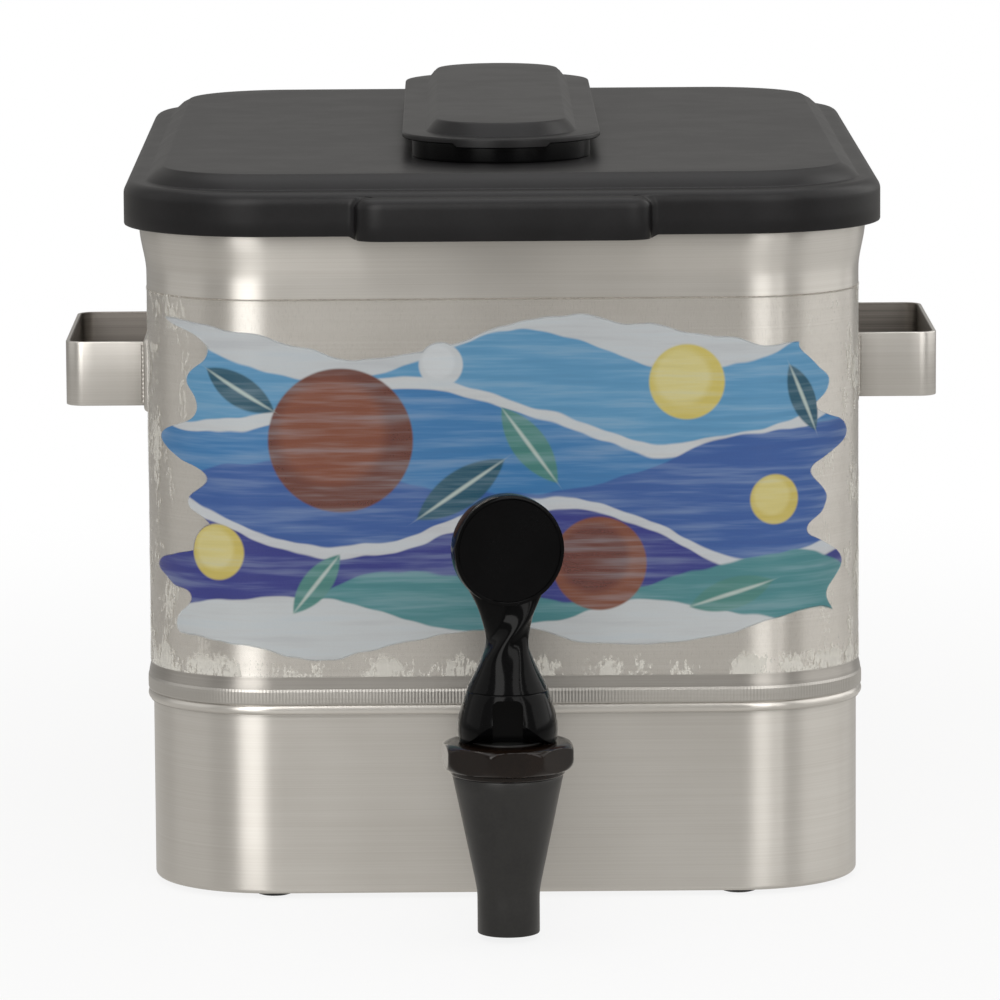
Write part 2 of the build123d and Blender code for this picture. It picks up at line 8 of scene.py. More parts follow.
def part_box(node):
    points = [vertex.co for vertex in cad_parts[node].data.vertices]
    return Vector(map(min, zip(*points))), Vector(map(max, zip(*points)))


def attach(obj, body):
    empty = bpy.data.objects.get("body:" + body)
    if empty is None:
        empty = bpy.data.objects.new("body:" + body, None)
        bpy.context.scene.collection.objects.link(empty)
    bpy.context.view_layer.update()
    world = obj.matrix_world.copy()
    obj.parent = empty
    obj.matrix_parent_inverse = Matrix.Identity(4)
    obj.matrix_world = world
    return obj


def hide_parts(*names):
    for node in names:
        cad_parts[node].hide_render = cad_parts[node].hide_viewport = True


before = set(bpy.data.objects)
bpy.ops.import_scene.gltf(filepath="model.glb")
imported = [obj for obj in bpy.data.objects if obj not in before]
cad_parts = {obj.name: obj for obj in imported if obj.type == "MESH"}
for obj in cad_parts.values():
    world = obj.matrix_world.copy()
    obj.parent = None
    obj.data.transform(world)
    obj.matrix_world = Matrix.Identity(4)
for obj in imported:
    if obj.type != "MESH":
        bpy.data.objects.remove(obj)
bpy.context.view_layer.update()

# An iced tea dispenser: the looks of its tank, lid, plug, handles and tap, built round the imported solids.
# Shapes are written in millimetres and made in metres.

MM = 0.001

# Tank and skirt
tank_w, tank_d, tank_r = 229.0, 330.0, 40.0
sheet = 0.7
wall_low_z, roll_out, roll_mid_z, roll_r = 59.6, 1.0, 61.35, 1.75
seam_low_z, seam_mid_z, seam_high_z, seam_in, seam_out = 63.1, 65.5, 67.7, 0.35, 0.95
rib_pitch, rib_deep = 1.05, 0.05
# The third and fourth numbers are shares of painted shade: on the step above the seam, and on the rim's curl
# and inside the wall, where it also stands for a less polished finish.
step_out, wall_foot_z, step_shade, inside_shade_and_mill = 0.72, 72.4, 0.55, 0.3
flare_z, flare_h, flare_out = 203.0, 10.0, 2.1
rim_z, rim_roll, rim_drop, rim_in, rim_r = 224.7, 1.4, 1.9, 0.35, 1.05
foot_h, skirt_in, skirt_top_z, skirt_bend, skirt_lip = 1.5, 0.75, 76.0, 1.5, 18.0

# Film
film_t, film_fit, film_low_z, film_high_z, film_wrap = 0.2, 0.05, 72.0, 193.1, 22.0
print_half, lifted_from, lifted_to, lifted_z = 104.0, 88.0, 147.0, 81.0

# Handles
handle_out, handle_len, handle_y, handle_low_z, handle_drop = 31.0, 89.0, 3.0, 145.2, 1.4
strap_h, strap_t, strap_bend, strap_ease = 21.5, 1.5, 6.0, 0.4
plate_rise, plate_edge, plate_len, plate_h, plate_up, plate_r = 4.8, 1.6, 96.0, 25.0, 1.5, 2.0
# The fourth and fifth numbers paint shade on the strap's outer face where it meets the plate: how dark, and
# how far along the strap it fades out.
weld_r, weld_ripple, weld_margin, weld_end_shade, weld_shade_reach = 0.75, 0.12, 1.0, 0.45, 5.0

# Lid
lid_over, lid_wall, lid_low_z, shelf_z, lid_edge, lid_ease = 7.0, 2.2, 213.6, 227.6, 4.0, 0.5
panel_inset, panel_slope, panel_h, panel_r = 7.5, 4.5, 4.7, 1.6
rib_out, rib_t, rib_h = 0.2, 2.0, 9.0
tab_w, tab_out, tab_drop, tab_below = 93.0, 8.0, 1.0, 1.4
tab_nose_x, tab_nose_y, tab_edge, tab_foot = 9.0, 5.2, 3.6, 2.6
collar_t, collar_h = 2.0, 8.0

# Plug
plug_len, plug_w, plug_inset = 262.0, 64.2, 9.0
cap_z, cap_t, cap_ease = 238.4, 2.0, 0.7
dome_inset, dome_slope, dome_h, dome_r = 8.0, 3.0, 4.2, 1.5
lip_w, lip_run, lip_drop, neck_inset, neck_foot = 28.5, 1.5, 1.2, 3.25, 0.9
plug_fit, plug_drop, plug_wall = 0.5, 9.0, 2.0

# Tap
tap_out = 65.0
spout_z, spout_d, cone_low_z, cone_top_z, cone_top_d = 1.9, 19.4, 15.4, 51.9, 34.6
outlet_d, seat_z, chamber_low_d, chamber_d, chamber_z = 13.0, 30.0, 20.0, 24.4, 42.0
tap_neck_d, tap_neck_z = 30.0, 58.5
shank_z, shank_d, shank_bore, shank_start, shank_end_y = 36.0, 20.0, 13.0, 10.6, -102.0
flange_d, flange_near, flange_far = 28.0, 2.0, 5.2
bonnet_sides, bonnet_af, bonnet_low_z, bonnet_top_z, bonnet_turn = 8, 39.3, 52.2, 62.3, 7.5
bonnet_lip_h, bonnet_lip_d, bonnet_foot, bonnet_shoulder, bonnet_top_d = 1.4, 35.6, 4.2, 2.4, 34.4
bonnet_d, bonnet_wall, washer_d, washer_z, stem_hole_r = 42.2, 3.4, 22.2, 61.6, 3.3

# Lever
lever_z, pin_h, pin_d = 62.75, 7.4, 3.0
toe_reach, toe_rise = 5.5, 2.0
ring_z, ring_d, neck_top_z = 15.8, 25.4, 52.0
head_z, head_d, head_t, head_turn, head_rim, head_round = 59.7, 34.6, 10.0, 12.0, 1.2, 4.0
badge_t, badge_sunk = 1.0, 0.3
cut_reach = 20.0
slot_w, slot_h, slot_back, slot_r = 9.4, 14.2, 5.0, 2.2

# Where things stand
tank_y = (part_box("tank_shell")[0].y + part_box("tank_shell")[1].y) / 2 / MM
front_y = tank_y - tank_d / 2
tap_y = front_y - tap_out
panel_z = shelf_z + panel_h
corner_x, corner_y = tank_w / 2 - tank_r, tank_d / 2 - tank_r


# Shader helpers

def srgb(r, g, b):
    """A colour of 0 to 255 levels as linear light."""
    levels = [c / 255 / 12.92 if c < 10 else ((c / 255 + 0.055) / 1.055) ** 2.4 for c in (r, g, b)]
    return (*levels, 1.0)


class Wire:
    """A shader output that can be worked with as a number."""

    def __init__(self, nodes, socket):
        self.nodes, self.socket = nodes, socket

    def math(self, operation, *values):
        return self.nodes.node("Math", {"operation": operation}, dict(enumerate((self,) + values)))

    def __add__(self, other):
        return self.math("ADD", other)

    def __sub__(self, other):
        return self.math("SUBTRACT", other)

    def __mul__(self, other):
        return self.math("MULTIPLY", other)

    def __truediv__(self, other):
        return self.math("DIVIDE", other)

    def __rsub__(self, other):
        return (self * -1.0) + other

    __radd__, __rmul__ = __add__, __mul__


class Nodes:
    """A tree of shader nodes, with one method that makes a node of any kind."""

    def __init__(self, tree):
        self.tree = tree

    def node(self, kind, settings, inputs, output=0):
        made = self.tree.nodes.new("ShaderNode" + kind)
        for key, value in settings.items():
            setattr(made, key, value)
        for key, value in inputs.items():
            self.join(made.inputs[key], value)
        return Wire(self, made.outputs[output])

    def join(self, socket, value):
        if isinstance(value, Wire):
            self.tree.links.new(value.socket, socket)
        else:
            socket.default_value = value

    def end(self, name, value):
        """Joins a shader to the tree's output node."""
        self.join(self.tree.nodes[name].inputs["Surface"], value)


class Paint(Nodes):
    """A procedural material, with its shader's fixed values by name."""

    def __init__(self, name, **values):
        self.material = bpy.data.materials.new(name)
        self.material.use_nodes = True
        super().__init__(self.material.node_tree)
        self.shader = self.tree.nodes["Principled BSDF"]
        for key, value in values.items():
            self.shader.inputs[key.replace("_", " ")].default_value = value

    def set(self, name, value):
        self.join(self.shader.inputs[name], value)

    def place(self):
        return self.node("TexCoord", {}, {}, "Object")

    def attribute(self, name, output):
        """A value kept at each point of the mesh."""
        return self.node("Attribute", {"attribute_name": name}, {}, output)

    def stretched(self, vector, x, y, z):
        """A place, scaled along each axis."""
        return self.node("VectorMath", {"operation": "MULTIPLY"}, {0: vector, 1: (x, y, z)})

    def noise(self, vector, scale=1.0, detail=2.0, rough=0.5):
        values = {"Vector": vector, "Scale": scale, "Detail": detail, "Roughness": rough}
        return self.node("TexNoise", {}, values)

    def mix(self, share, a, b):
        return self.node("Mix", {"data_type": "RGBA"}, {0: share, 6: a, 7: b}, 2)

    def ramp(self, value, low, high, to_low=0.0, to_high=1.0):
        values = {"Value": value, "From Min": low, "From Max": high, "To Min": to_low, "To Max": to_high}
        return self.node("MapRange", {"interpolation_type": "SMOOTHSTEP"}, values)

    def bump(self, height, strength, distance):
        values = {"Height": height, "Strength": strength, "Distance": distance * MM}
        self.set("Normal", self.node("Bump", {}, values))


def brushed_steel(name, light=1.0, across=1900.0, along=14.0, stretch=0.88, shade_and_mill=None):
    """Stainless steel with fine level brushing, deeper lines and smudges; the last argument names a mesh
    attribute where painted shade darkens it (inside the tank also a less polished finish).
    """
    p = Paint(name, Metallic=1.0, Anisotropic=stretch, Anisotropic_Rotation=0.25)
    fine = p.noise(p.stretched(p.place(), along, along, across * 2.4), 1.0, 2.0, 0.6)
    lines = p.noise(p.stretched(p.place(), along * 0.5, along * 0.5, across), 1.0, 2.0, 0.5)
    smudge = p.noise(p.place(), 20.0, 3.0, 0.55)
    tone = p.ramp(fine * 0.4 + lines * 0.3 + smudge * 0.3, 0.3, 0.7)
    dark, pale = (srgb(*(v * light for v in tint)) for tint in ((203, 199, 193), (214, 211, 206)))
    colour = p.mix(tone, dark, pale)
    rough = p.ramp(fine * 0.5 + smudge * 0.5, 0.3, 0.7, 0.33, 0.4)
    # Painted shade: where the named attribute is set, the colour goes towards dark steel and a little
    # rougher; inside the tank this also stands for a less polished finish.
    if shade_and_mill:
        shade_mill_share = p.attribute(shade_and_mill, "Fac")
        colour = p.mix(shade_mill_share, colour, p.mix(tone, srgb(96, 92, 88), srgb(128, 123, 118)))
        rough = rough + shade_mill_share * 0.08
    p.set("Base Color", colour)
    p.set("Roughness", rough)
    p.bump(fine * 0.7 + lines * 0.3, 0.1, 0.02)
    return p.material


def moulded(name, dark, pale, rough, grain=0.0, grain_size=0.8, level=0.5, coat=0.0):
    """Moulded plastic or rubber: a slight mottle, a varying sheen and, where grained, a fine texture."""
    p = Paint(name, Specular_IOR_Level=level, Coat_Weight=coat, Coat_Roughness=0.06)
    mottle = p.noise(p.place(), 45.0, 3.0, 0.6)
    dust = p.noise(p.place(), 900.0, 2.0, 0.6)
    p.set("Base Color", p.mix(p.ramp(mottle * 0.7 + dust * 0.3, 0.35, 0.65), srgb(*dark), srgb(*pale)))
    p.set("Roughness", p.ramp(mottle, 0.3, 0.7, rough * 0.96, rough * 1.04))
    texture = p.noise(p.place(), 1000.0 / grain_size, 3.0, 0.65)
    p.bump(texture, 0.3 if grain else 0.05, max(grain, 0.01))
    return p.material


def printed_film():
    """Clear film with a bold print of waves, leaves and discs, and a few pale patches where it has lifted."""
    p = Paint("printed_film", Roughness=0.22, Specular_IOR_Level=0.4, Coat_Weight=0.15, Coat_Roughness=0.1)
    spot = p.attribute("film_place", "Vector")
    s, z = (p.node("SeparateXYZ", {}, {0: spot}, k) for k in (0, 1))
    wobble = (p.noise(spot, 0.035, 2.0, 0.5) - 0.5) * 26.0

    def swell(height, rise, length, start, lean=0.0):
        """A wave's height along the film."""
        return (s / length + start).math("SINE") * rise + (s * lean + height) + wobble * 0.35

    def under(edge, soft=0.5):
        return p.ramp(edge - z, -soft, soft)

    def disc(x, y, r, soft=0.5):
        away = ((s - x) * (s - x) + (z - y) * (z - y)).math("SQRT")
        return p.ramp(r - away, -soft, soft)

    def leaf(x, y, length, wide, turn):
        """A pointed oval: where two discs overlap."""
        r = (length * length + wide * wide) / (4.0 * wide)
        off = r - wide / 2
        dx, dy = -sin(turn) * off, cos(turn) * off
        return disc(x + dx, y + dy, r) * disc(x - dx, y - dy, r)

    # Where the print ends, left and right, in rounded tongues
    side = s.math("ABSOLUTE")
    tongue = ((z * 0.31).math("SINE") * 7.0 + (z * 0.13 + 1.0).math("SINE") * 6.0) + wobble
    inside = p.ramp(print_half + tongue - side, -0.6, 0.6)

    bands = [
        (swell(181, 6, 21, 0.4, 0.02), srgb(222, 226, 228)),
        (swell(175, 7, 19, 1.3, 0.03), srgb(104, 170, 214)),
        (swell(158, 9, 24, 2.6, -0.05), srgb(228, 231, 232)),
        (swell(154, 9, 24, 2.5, -0.05), srgb(72, 140, 200)),
        (swell(138, 8, 27, 4.4, 0.06), srgb(64, 104, 178)),
        (swell(121, 9, 22, 0.9, -0.03), srgb(226, 229, 232)),
        (swell(117, 9, 22, 0.8, -0.03), srgb(58, 62, 150)),
        (swell(101, 6, 18, 3.3, 0.05), srgb(84, 152, 156)),
        (swell(92, 5, 20, 5.2, -0.02), srgb(224, 228, 229)),
    ]
    base = swell(84, 4, 16, 1.9, 0.03)
    printed = under(bands[0][0]) * (1.0 - under(base)) * inside
    ink = bands[0][1]
    for edge, tint in bands[1:]:
        ink = p.mix(under(edge), ink, tint)
    discs = [
        (-52, 148, 23.0, srgb(122, 66, 38), srgb(150, 84, 46)),
        (58, 166, 12.0, srgb(232, 214, 110), srgb(240, 228, 150)),
        (30, 108, 15.0, srgb(146, 82, 44), srgb(120, 62, 36)),
        (86, 128, 8.0, srgb(228, 208, 104), srgb(238, 224, 140)),
        (-92, 112, 9.0, srgb(230, 210, 106), srgb(240, 226, 146)),
        (-20, 172, 7.0, srgb(226, 230, 232), srgb(236, 240, 242)),
        (4, 98, 5.0, srgb(226, 230, 232), srgb(236, 240, 242)),
    ]
    for x, y, r, tint, heart in discs:
        there, rim = disc(x, y, r), r * 0.12
        ink = p.mix(there, ink, tint)
        ink = p.mix(disc(x - rim, y + rim, r * 0.74, rim), ink, heart)
        printed = printed.math("MAXIMUM", there)
    leaves = [
        (-14, 132, 34, 12, 0.6), (8, 146, 30, 11, 2.2), (-84, 164, 26, 10, 2.6),
        (72, 98, 28, 10, 0.3), (96, 160, 24, 9, 2.0), (-60, 102, 24, 9, 0.9),
    ]
    for k, (x, y, length, wide, turn) in enumerate(leaves):
        there = leaf(x, y, length, wide, turn)
        ink = p.mix(there, ink, srgb(86, 150, 140) if k % 2 else srgb(44, 96, 116))
        ink = p.mix(leaf(x, y, length, 1.2, turn), ink, srgb(206, 222, 214))
        printed = printed.math("MAXIMUM", there)

    def strokes(along, up, detail, rough):
        return p.noise(p.stretched(spot, along, up, 1.0), 1.0, detail, rough)

    # Pale flecks where the film has let go, near its ends and its foot
    near_end = p.ramp(side, lifted_from, lifted_from + 42.0) * p.ramp(side, lifted_to, lifted_to - 7.0)
    near_foot = p.ramp(lifted_z - z, 0.0, 6.0)
    place = strokes(0.11, 0.045, 3.0, 0.5)
    break_up = strokes(0.9, 0.3, 3.0, 0.7)
    lifted = p.ramp(place * 0.55 + break_up * 0.45 + near_end * 0.06 + near_foot * 0.09, 0.585, 0.625)
    lifted = lifted * near_end.math("MAXIMUM", near_foot)

    # Streaks in the ink and in the clear film, and the bright line of its cut edge
    grain = p.noise(spot, 1.6, 3.0, 0.6)
    sweep = strokes(0.02, 0.3, 3.0, 0.6)
    weave = strokes(2.2, 0.35, 2.0, 0.6)
    ink = p.mix(p.ramp(sweep, 0.4, 0.75) * 0.3, ink, srgb(196, 214, 228))
    ink = p.mix(p.ramp(sweep, 0.6, 0.2) * 0.16, ink, srgb(60, 66, 110))
    ink = p.mix(grain * 0.12, ink, srgb(120, 140, 170))
    colour = p.mix(p.ramp(weave, 0.35, 0.65), srgb(172, 165, 154), srgb(206, 200, 190))
    colour = p.mix(p.ramp(lifted, 0.0, 0.1), colour, srgb(252, 250, 243))
    colour = p.mix(p.ramp(printed, 0.0, 0.1), colour, ink)
    cut_edge = p.ramp(z, film_high_z - 0.8, film_high_z - 0.3) * 0.35
    cover = (p.ramp(weave, 0.5, 0.7) * 0.05 + lifted * 0.5 + cut_edge + 0.03).math("MAXIMUM", printed * 0.8)
    p.set("Base Color", colour)
    p.set("Alpha", cover)
    p.bump(grain, 0.1, 0.02)
    p.material.surface_render_method = "BLENDED"
    return p.material


# Mesh helpers

def added(name, data):
    """A new object in the scene."""
    made = bpy.data.objects.new(name, data)
    bpy.context.scene.collection.objects.link(made)
    return made


def piece(name, bm, body, slot, material, *nodes, sharp=38.0, merge=True):
    """Turns a mesh in millimetres into a piece of the object that rides on a body."""
    if merge:
        bmesh.ops.remove_doubles(bm, verts=bm.verts, dist=0.0005)
    bmesh.ops.recalc_face_normals(bm, faces=bm.faces)
    bmesh.ops.transform(bm, matrix=Matrix.Scale(MM, 4), verts=bm.verts)
    mesh = bpy.data.meshes.new(name)
    bm.to_mesh(mesh)
    bm.free()
    mesh.shade_smooth()
    mesh.set_sharp_from_angle(angle=radians(sharp))
    mesh.materials.append(material)
    made = added(name, mesh)
    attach(made, body)
    if nodes:
        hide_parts(*nodes)
    return made


def skin(bm, rings, round_ring=True, round_rings=True):
    """Joins rings of points with faces; every ring has the same number of points."""
    loops = [[bm.verts.new(p) for p in ring] for ring in rings]
    pairs = list(zip(loops, loops[1:] + loops[:1])) if round_rings else list(zip(loops, loops[1:]))
    for a, b in pairs:
        count = len(a)
        for k in range(count if round_ring else count - 1):
            n = (k + 1) % count
            bm.faces.new((a[k], a[n], b[n], b[k]))
    return loops


def solid(bm, rings):
    """Joins rings of points with faces and closes both ends."""
    loops = skin(bm, rings, round_rings=False)
    bm.faces.new(loops[0])
    bm.faces.new(loops[-1])
    return loops


def turns(count):
    """The angles of a full turn in equal steps."""
    return [2 * pi * k / count for k in range(count)]


def arc(cx, cz, r, start, end, steps):
    """Points of an arc in a section, angles in degrees from its outward direction."""
    angles = [radians(start + (end - start) * k / steps) for k in range(steps + 1)]
    return [(cx + r * cos(a), cz + r * sin(a)) for a in angles]


def rounded(wide, tall, corner, steps, inset=0.0):
    """Points of a rectangle with round corners, drawn in by an inset."""
    points = []
    x, y = wide / 2 - corner, tall / 2 - corner
    for sx, sy, start in ((1, 1, 0), (-1, 1, 90), (-1, -1, 180), (1, -1, 270)):
        points += arc(sx * x, sy * y, corner - inset, start, start + 90, steps)
    return points


def ease(t):
    return t * t * (3 - 2 * t)


# Outline of the tank: stations round it, each with the point it is drawn from and its direction

def stations(front=44, side=26, corner=26):
    order = (
        ("front", front), ("front_right", corner), ("right", side), ("back_right", corner),
        ("back", front), ("back_left", corner), ("left", side), ("front_left", corner),
    )
    return [(name, k / count) for name, count in order for k in range(count)]


def station(name, share):
    """The point that the outline is drawn from, and the direction, at a share of the way along one part."""
    swing = {"front_right": -90, "back_right": 0, "back_left": 90, "front_left": 180}
    if name in swing:
        at = (corner_x if "right" in name else -corner_x, -corner_y if "front" in name else corner_y)
        return at, radians(swing[name] + 90 * share)
    run = {
        "front": (((share * 2 - 1) * corner_x, -corner_y), -90),
        "right": ((corner_x, (share * 2 - 1) * corner_y), 0),
        "back": (((1 - share * 2) * corner_x, corner_y), 90),
        "left": ((-corner_x, (1 - share * 2) * corner_y), 180),
    }
    at, angle = run[name]
    return at, radians(angle)


def outline_point(name, share, out, z):
    (x, y), angle = station(name, share)
    r = tank_r + out
    return Vector((x + r * cos(angle), tank_y + y + r * sin(angle), z))


def slot_point(name, share, length, width, z):
    """The matching point of a slot shape that lies along the tank."""
    run = length / 2 - width / 2
    spans = {
        "front": (-135, -45), "front_right": (-45, 0), "back_right": (0, 45),
        "back": (45, 135), "back_left": (135, 180), "front_left": (180, 225),
    }
    if name in spans:
        start, end = spans[name]
        angle = radians(start + (end - start) * share)
        y = -run if sin(angle) < -1e-9 or "front" in name else run
        return Vector((width / 2 * cos(angle), tank_y + y + width / 2 * sin(angle), z))
    sign = 1 if name == "right" else -1
    return Vector((sign * width / 2, tank_y + sign * run * (share * 2 - 1), z))


def tank_ring(out, z, marks):
    return [outline_point(name, share, out, z) for name, share in marks]


def slot_ring(length, width, z, marks):
    return [slot_point(name, share, length, width, z) for name, share in marks]


def run_length(marks):
    """How far each station of the film is round the wall from the middle of the front."""
    points = [outline_point(name, share, 0, 0) for name, share in marks]
    total = [0.0]
    for a, b in zip(points, points[1:]):
        total.append(total[-1] + (b - a).length)
    return [t - total[-1] / 2 for t in total]


# Tank, skirt and film

def tank_wall(material):
    """The wall, from the roll at its foot through the flare to its rolled rim."""
    marks = stations()
    roll = arc(roll_out - roll_r, roll_mid_z, roll_r, -88, 62, 12)
    outer = roll + [(step_out, seam_low_z), (step_out, seam_high_z)]
    step_h = wall_foot_z - seam_high_z
    outer += [(step_out * (1 - ease(k / 6)), seam_high_z + step_h * k / 6) for k in range(1, 7)]
    outer += [(0, 100), (0, 150), (0, flare_z - 6)]
    outer += [(flare_out * ease(k / 14), flare_z - 5 + (flare_h + 5) * k / 14) for k in range(1, 15)]
    outer += [(flare_out, 218.0), (flare_out, rim_z - 0.3)]
    curl_out = flare_out + rim_roll
    rim = arc(flare_out + rim_roll / 2 + rim_in, rim_z - rim_in, rim_r, 10, 100, 8)
    lip = [(curl_out, rim_z - rim_drop), (curl_out + sheet, rim_z - rim_drop)]
    inside = [(flare_out, rim_z - rim_in), (curl_out, rim_z - rim_in)]
    inner = [(out - sheet, z) for out, z in reversed(outer[len(roll):]) if z < rim_z - 1]
    inner = [(flare_out - sheet, rim_z + 0.2)] + inner + [(0.2, seam_low_z), (0.2, wall_low_z)]
    profile = outer[:-1] + inside + lip + rim + inner
    bm = bmesh.new()
    shade_mill_layer = bm.verts.layers.float.new("shade_and_mill_share")
    loops = skin(bm, [tank_ring(out, z, marks) for out, z in profile])
    # Painted shade: the rim's curl and the inside of the wall are darkened, which also stands for a less
    # polished finish there, and the step above the seam is darkened to tone down its highlight.
    for k, (loop, (_, z)) in enumerate(zip(loops, profile)):
        for vert in loop:
            if k >= len(outer):
                vert[shade_mill_layer] = inside_shade_and_mill
            elif seam_high_z - 0.1 < z < wall_foot_z - 0.1:
                vert[shade_mill_layer] = step_shade
    return piece("tank_wall", bm, "tank", "wall_steel", material, "tank_shell")


def seam_band(material):
    """The fine upright ribs that the seam welder leaves round the foot of the wall."""
    runs = (2 * corner_x, 2 * corner_y, pi / 2 * tank_r)
    marks = stations(*(int(2 * run / rib_pitch) for run in runs))
    rows = (
        (seam_in, seam_low_z - 0.4, 0.0), (step_out + 0.06, seam_low_z, 0.0),
        (seam_out, seam_low_z + 0.5, rib_deep), (seam_out + 0.03, seam_mid_z, rib_deep),
        (seam_out, seam_high_z - 0.5, rib_deep), (step_out, seam_high_z + 0.35, 0.0),
        (seam_in, seam_high_z + 0.5, 0.0),
    )
    bm = bmesh.new()
    skin(bm, [
        [outline_point(*mark, out - (deep if k % 2 else 0.0), z) for k, mark in enumerate(marks)]
        for out, z, deep in rows
    ])
    return piece("seam_band", bm, "tank", "wall_steel", material, sharp=3.0)


def skirt(material):
    """The skirt under the wall, turned in at its foot."""
    marks = stations()
    bend = arc(-skirt_in - skirt_bend, foot_h + skirt_bend, skirt_bend, -90, 0, 8)
    outer = [(-skirt_lip, foot_h)] + bend + [(-skirt_in, 20), (-skirt_in, 40), (-skirt_in, skirt_top_z)]
    inner_bend = arc(-skirt_in - skirt_bend, foot_h + skirt_bend, skirt_bend - sheet, 0, -90, 8)
    inner = [(-skirt_in - sheet, skirt_top_z)] + inner_bend + [(-skirt_lip, foot_h + sheet)]
    bm = bmesh.new()
    skin(bm, [tank_ring(out, z, marks) for out, z in outer + inner])
    return piece("skirt", bm, "tank", "skirt_steel", material, "base_skirt")


def film(material):
    """The printed film, with its place on the wall kept at each point for the print."""
    part = film_wrap / (2 * corner_y)
    marks = [("left", 1 - part * (1 - k / 6)) for k in range(6)]
    marks += [("front_left", k / 26) for k in range(26)] + [("front", k / 40) for k in range(40)]
    marks += [("front_right", k / 26) for k in range(26)] + [("right", part * k / 6) for k in range(7)]
    heights = [film_low_z + (film_high_z - film_low_z) * k / 24 for k in range(25)]
    outs = [(film_fit, heights[0])] + [(film_fit + film_t, z) for z in heights] + [(film_fit, heights[-1])]
    bm = bmesh.new()
    layer = bm.verts.layers.float_vector.new("film_place")
    rings = [tank_ring(out, z, marks) for out, z in outs]
    loops = skin(bm, rings, round_ring=False)
    for end in (0, -1):
        bm.faces.new([loop[end] for loop in loops])
    for loop, (_, z) in zip(loops, outs):
        for vert, s in zip(loop, run_length(marks)):
            vert[layer] = (s, z, 0.0)
    return piece("printed_film", bm, "tank", "film", material, "label_film", merge=False)


def feet(material):
    """Four turned rubber feet with a domed sole, each pressed through the skirt's lip."""
    foot_inset = skirt_in + skirt_lip / 2
    bm = bmesh.new()
    profile = [(0.4, 0.0), (3.6, 0.0), (4.6, 0.12), (5.6, 0.45), (6.3, 0.85), (6.7, foot_h), (3.0, foot_h),
               (3.0, foot_h + sheet + 0.1), (4.4, foot_h + sheet + 0.15), (4.4, 3.6), (3.9, 3.9), (0.4, 3.9)]
    for sx in (-1, 1):
        for sy in (-1, 1):
            cx, cy = sx * corner_x, tank_y + sy * (tank_d / 2 - foot_inset)
            solid(bm, [
                [Vector((cx + r * cos(a), cy + r * sin(a), z)) for a in turns(48)] for r, z in profile
            ])
    return piece("rubber_feet", bm, "tank", "foot_rubber", material, "base_feet")


# Handles

def handle(side, steel):
    """A strap bent twice, its edges eased, on a plate that is pressed out, with its weld beads."""
    word = "right" if side > 0 else "left"
    handle_z = handle_low_z - (handle_drop if side < 0 else 0.0)
    mid_y = tank_y + handle_y
    start_x, out_x = tank_w / 2 + plate_rise - 0.05, tank_w / 2 + handle_out - strap_t / 2
    half, bend = handle_len / 2 - strap_t / 2, strap_bend - strap_t / 2
    steps, bend_x = 8, out_x - bend
    path = [((start_x + (bend_x - start_x) * k / 6, -half), -90) for k in range(7)]
    for cy, start in ((-half + bend, -90), (half - bend, 0)):
        for k in range(1, steps + 1):
            turn = start + 90 * k / steps
            path.append(((bend_x + bend * cos(radians(turn)), cy + bend * sin(radians(turn))), turn))
        if start:
            path.append(((out_x, half - bend), 0))
    path += [((bend_x - (bend_x - start_x) * k / 6, half), 90) for k in range(1, 7)]
    section = rounded(strap_t, strap_h, strap_ease, 3)
    bm = bmesh.new()
    shade_mill_layer = bm.verts.layers.float.new("shade_and_mill_share")
    rings = []
    for (x, y), angle in path:
        nx, ny = cos(radians(angle)), sin(radians(angle))
        rings.append([
            Vector((side * (x + off * nx), mid_y + y + off * ny, handle_z + strap_h / 2 + up))
            for off, up in section
        ])
    loops = solid(bm, rings)
    # Painted shade: the strap's inner face is darkened fully, and its outer face near the plate, fading along
    # the strap.
    for loop, ((x, _), _) in zip(loops, path):
        end_shade = weld_end_shade * max(0.0, 1 - (x - start_x) / weld_shade_reach)
        for vert, (off, _) in zip(loop, section):
            vert[shade_mill_layer] = 1.0 if off < -strap_t / 4 else end_shade
    strap = piece(f"handle_strap_{word}", bm, "tank", "handle_steel", steel, f"side_handle_{word}")

    bm = bmesh.new()
    mid_z = handle_z + strap_h + plate_up - plate_h / 2
    swings = [radians(90 * k / 5) for k in range(6)]
    edge = [(plate_rise - plate_edge * (1 - sin(a)), plate_edge * (1 - cos(a))) for a in swings]
    solid(bm, [
        [Vector((side * (tank_w / 2 + x), mid_y + y, mid_z + z))
         for y, z in rounded(plate_len, plate_h, plate_r, 6, inset)]
        for x, inset in [(0.0, 0.0)] + edge
    ])
    plate = piece(f"backing_plate_{word}", bm, "tank", "handle_steel", steel, f"handle_plate_{word}")

    # Weld beads in the corners between the strap's ends and the plate
    bm = bmesh.new()
    for end in (-1, 1):
        for face in (-1, 1):
            x, y = tank_w / 2 + plate_rise + 0.1, mid_y + end * half + face * (strap_t / 2 + 0.1)
            rings = []
            for k in range(45):
                z = handle_z + weld_margin + (strap_h - 2 * weld_margin) * k / 44
                r = weld_r + weld_ripple * sin(k * 1.9)
                rings.append([Vector((side * (x + r * cos(a)), y + r * sin(a), z)) for a in turns(6)])
            solid(bm, rings)
    welds = piece(f"handle_welds_{word}", bm, "tank", "handle_steel", steel)
    return strap, plate, welds


# Lid

